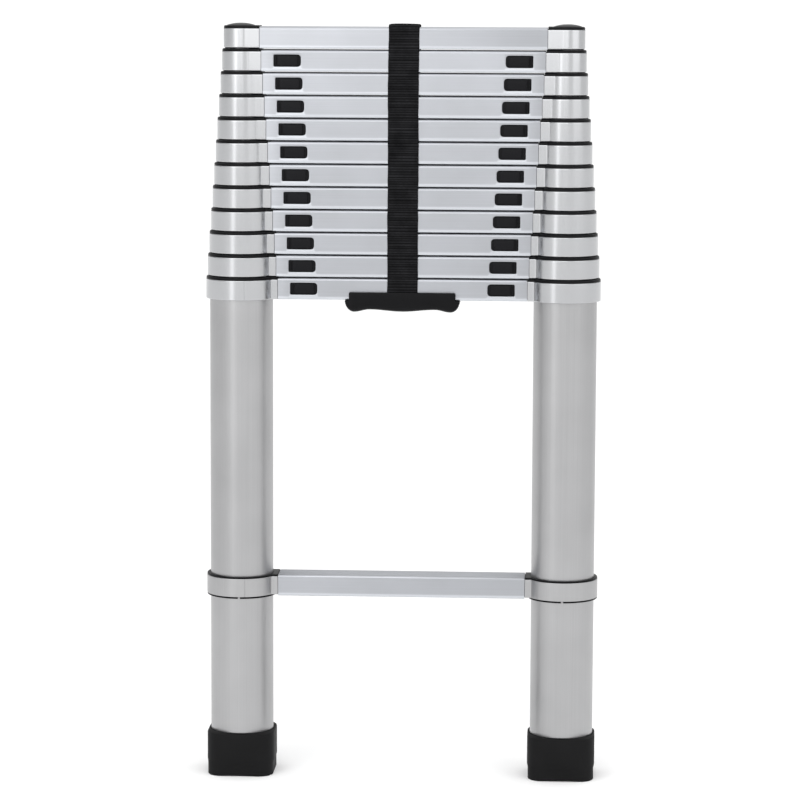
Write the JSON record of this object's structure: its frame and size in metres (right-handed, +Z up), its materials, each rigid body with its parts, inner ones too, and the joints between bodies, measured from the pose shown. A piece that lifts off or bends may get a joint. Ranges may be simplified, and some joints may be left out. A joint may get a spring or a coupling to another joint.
{
  "type": "telescoping ladder",
  "caption": "Folded telescoping ladder with nested round tube stiles, stacked rungs with sliding thumb latches, a fixed lower rung, rubber boots and a carry strap.",
  "frame": {"origin": "on the floor, midway between the two feet", "axes": "+Z up along the stiles, -Y the front with the thumb latches, +X along the rungs to the right seen from the front"},
  "size_m": [0.48, 0.086, 0.9208],
  "materials": {
    "anodised_aluminium": "satin anodised extrusion, drawn along its length",
    "black_plastic": "moulded glass-filled nylon, fine texture",
    "black_rubber": "moulded rubber, matt",
    "black_webbing": "ribbed woven polypropylene webbing",
    "zinc_steel": "zinc plated"
  },
  "bodies": {
    "bottom_section": {"bottom_tubes": "anodised_aluminium", "bottom_rung": "anodised_aluminium", "bottom_bands": "anodised_aluminium", "bottom_bushes": "black_plastic", "lower_rung": "anodised_aluminium", "lower_rung_bands": "anodised_aluminium", "lower_rung_bushes": "black_plastic", "lower_rung_rivets": "anodised_aluminium", "foot_boots": "black_rubber", "foot_plugs": "black_plastic", "carry_handle": "black_plastic", "handle_screws": "zinc_steel"},
    "section_02": {"section_02_frame": "anodised_aluminium", "section_02_bushes": "black_plastic"},
    "section_03": {"section_03_frame": "anodised_aluminium", "section_03_bushes": "black_plastic"},
    "section_04": {"section_04_frame": "anodised_aluminium", "section_04_bushes": "black_plastic"},
    "section_05": {"section_05_frame": "anodised_aluminium", "section_05_bushes": "black_plastic"},
    "section_06": {"section_06_frame": "anodised_aluminium", "section_06_bushes": "black_plastic"},
    "section_07": {"section_07_frame": "anodised_aluminium", "section_07_bushes": "black_plastic"},
    "section_08": {"section_08_frame": "anodised_aluminium", "section_08_bushes": "black_plastic"},
    "section_09": {"section_09_frame": "anodised_aluminium", "section_09_bushes": "black_plastic"},
    "section_10": {"section_10_frame": "anodised_aluminium", "section_10_bushes": "black_plastic"},
    "section_11": {"section_11_frame": "anodised_aluminium", "section_11_bushes": "black_plastic"},
    "top_section": {"top_tubes": "anodised_aluminium", "top_rung": "anodised_aluminium", "top_bands": "anodised_aluminium", "top_bushes": "black_plastic", "top_caps": "black_plastic", "carry_strap": "black_webbing"},
    "latch_01_left": {"latch_01_left": "black_plastic"},
    "latch_01_right": {"latch_01_right": "black_plastic"},
    "latch_02_left": {"latch_02_left": "black_plastic"},
    "latch_02_right": {"latch_02_right": "black_plastic"},
    "latch_03_left": {"latch_03_left": "black_plastic"},
    "latch_03_right": {"latch_03_right": "black_plastic"},
    "latch_04_left": {"latch_04_left": "black_plastic"},
    "latch_04_right": {"latch_04_right": "black_plastic"},
    "latch_05_left": {"latch_05_left": "black_plastic"},
    "latch_05_right": {"latch_05_right": "black_plastic"},
    "latch_06_left": {"latch_06_left": "black_plastic"},
    "latch_06_right": {"latch_06_right": "black_plastic"},
    "latch_07_left": {"latch_07_left": "black_plastic"},
    "latch_07_right": {"latch_07_right": "black_plastic"},
    "latch_08_left": {"latch_08_left": "black_plastic"},
    "latch_08_right": {"latch_08_right": "black_plastic"},
    "latch_09_left": {"latch_09_left": "black_plastic"},
    "latch_09_right": {"latch_09_right": "black_plastic"},
    "latch_10_left": {"latch_10_left": "black_plastic"},
    "latch_10_right": {"latch_10_right": "black_plastic"},
    "latch_11_left": {"latch_11_left": "black_plastic"},
    "latch_11_right": {"latch_11_right": "black_plastic"}
  },
  "joints": [
    {"name": "slide_02", "type": "slide", "parent": "bottom_section", "child": "section_02", "axis": [0, 0, 1], "range_m": [0, 0.262]},
    {"name": "slide_03", "type": "slide", "parent": "section_02", "child": "section_03", "axis": [0, 0, 1], "range_m": [0, 0.262]},
    {"name": "slide_04", "type": "slide", "parent": "section_03", "child": "section_04", "axis": [0, 0, 1], "range_m": [0, 0.262]},
    {"name": "slide_05", "type": "slide", "parent": "section_04", "child": "section_05", "axis": [0, 0, 1], "range_m": [0, 0.262]},
    {"name": "slide_06", "type": "slide", "parent": "section_05", "child": "section_06", "axis": [0, 0, 1], "range_m": [0, 0.262]},
    {"name": "slide_07", "type": "slide", "parent": "section_06", "child": "section_07", "axis": [0, 0, 1], "range_m": [0, 0.262]},
    {"name": "slide_08", "type": "slide", "parent": "section_07", "child": "section_08", "axis": [0, 0, 1], "range_m": [0, 0.262]},
    {"name": "slide_09", "type": "slide", "parent": "section_08", "child": "section_09", "axis": [0, 0, 1], "range_m": [0, 0.262]},
    {"name": "slide_10", "type": "slide", "parent": "section_09", "child": "section_10", "axis": [0, 0, 1], "range_m": [0, 0.262]},
    {"name": "slide_11", "type": "slide", "parent": "section_10", "child": "section_11", "axis": [0, 0, 1], "range_m": [0, 0.262]},
    {"name": "slide_12", "type": "slide", "parent": "section_11", "child": "top_section", "axis": [0, 0, 1], "range_m": [0, 0.262]},
    {"name": "latch_01_left", "type": "slide", "parent": "bottom_section", "child": "latch_01_left", "axis": [1, 0, 0], "range_m": [0, 0.0035], "stiffness_N_per_m": 600, "springref_m": -0.006},
    {"name": "latch_01_right", "type": "slide", "parent": "bottom_section", "child": "latch_01_right", "axis": [-1, 0, 0], "range_m": [0, 0.0035], "stiffness_N_per_m": 600, "springref_m": -0.006},
    {"name": "latch_02_left", "type": "slide", "parent": "section_02", "child": "latch_02_left", "axis": [1, 0, 0], "range_m": [0, 0.0035], "stiffness_N_per_m": 600, "springref_m": -0.006},
    {"name": "latch_02_right", "type": "slide", "parent": "section_02", "child": "latch_02_right", "axis": [-1, 0, 0], "range_m": [0, 0.0035], "stiffness_N_per_m": 600, "springref_m": -0.006},
    {"name": "latch_03_left", "type": "slide", "parent": "section_03", "child": "latch_03_left", "axis": [1, 0, 0], "range_m": [0, 0.0035], "stiffness_N_per_m": 600, "springref_m": -0.006},
    {"name": "latch_03_right", "type": "slide", "parent": "section_03", "child": "latch_03_right", "axis": [-1, 0, 0], "range_m": [0, 0.0035], "stiffness_N_per_m": 600, "springref_m": -0.006},
    {"name": "latch_04_left", "type": "slide", "parent": "section_04", "child": "latch_04_left", "axis": [1, 0, 0], "range_m": [0, 0.0035], "stiffness_N_per_m": 600, "springref_m": -0.006},
    {"name": "latch_04_right", "type": "slide", "parent": "section_04", "child": "latch_04_right", "axis": [-1, 0, 0], "range_m": [0, 0.0035], "stiffness_N_per_m": 600, "springref_m": -0.006},
    {"name": "latch_05_left", "type": "slide", "parent": "section_05", "child": "latch_05_left", "axis": [1, 0, 0], "range_m": [0, 0.0035], "stiffness_N_per_m": 600, "springref_m": -0.006},
    {"name": "latch_05_right", "type": "slide", "parent": "section_05", "child": "latch_05_right", "axis": [-1, 0, 0], "range_m": [0, 0.0035], "stiffness_N_per_m": 600, "springref_m": -0.006},
    {"name": "latch_06_left", "type": "slide", "parent": "section_06", "child": "latch_06_left", "axis": [1, 0, 0], "range_m": [0, 0.0035], "stiffness_N_per_m": 600, "springref_m": -0.006},
    {"name": "latch_06_right", "type": "slide", "parent": "section_06", "child": "latch_06_right", "axis": [-1, 0, 0], "range_m": [0, 0.0035], "stiffness_N_per_m": 600, "springref_m": -0.006},
    {"name": "latch_07_left", "type": "slide", "parent": "section_07", "child": "latch_07_left", "axis": [1, 0, 0], "range_m": [0, 0.0035], "stiffness_N_per_m": 600, "springref_m": -0.006},
    {"name": "latch_07_right", "type": "slide", "parent": "section_07", "child": "latch_07_right", "axis": [-1, 0, 0], "range_m": [0, 0.0035], "stiffness_N_per_m": 600, "springref_m": -0.006},
    {"name": "latch_08_left", "type": "slide", "parent": "section_08", "child": "latch_08_left", "axis": [1, 0, 0], "range_m": [0, 0.0035], "stiffness_N_per_m": 600, "springref_m": -0.006},
    {"name": "latch_08_right", "type": "slide", "parent": "section_08", "child": "latch_08_right", "axis": [-1, 0, 0], "range_m": [0, 0.0035], "stiffness_N_per_m": 600, "springref_m": -0.006},
    {"name": "latch_09_left", "type": "slide", "parent": "section_09", "child": "latch_09_left", "axis": [1, 0, 0], "range_m": [0, 0.0035], "stiffness_N_per_m": 600, "springref_m": -0.006},
    {"name": "latch_09_right", "type": "slide", "parent": "section_09", "child": "latch_09_right", "axis": [-1, 0, 0], "range_m": [0, 0.0035], "stiffness_N_per_m": 600, "springref_m": -0.006},
    {"name": "latch_10_left", "type": "slide", "parent": "section_10", "child": "latch_10_left", "axis": [1, 0, 0], "range_m": [0, 0.0035], "stiffness_N_per_m": 600, "springref_m": -0.006},
    {"name": "latch_10_right", "type": "slide", "parent": "section_10", "child": "latch_10_right", "axis": [-1, 0, 0], "range_m": [0, 0.0035], "stiffness_N_per_m": 600, "springref_m": -0.006},
    {"name": "latch_11_left", "type": "slide", "parent": "section_11", "child": "latch_11_left", "axis": [1, 0, 0], "range_m": [0, 0.0035], "stiffness_N_per_m": 600, "springref_m": -0.006},
    {"name": "latch_11_right", "type": "slide", "parent": "section_11", "child": "latch_11_right", "axis": [-1, 0, 0], "range_m": [0, 0.0035], "stiffness_N_per_m": 600, "springref_m": -0.006}
  ]
}
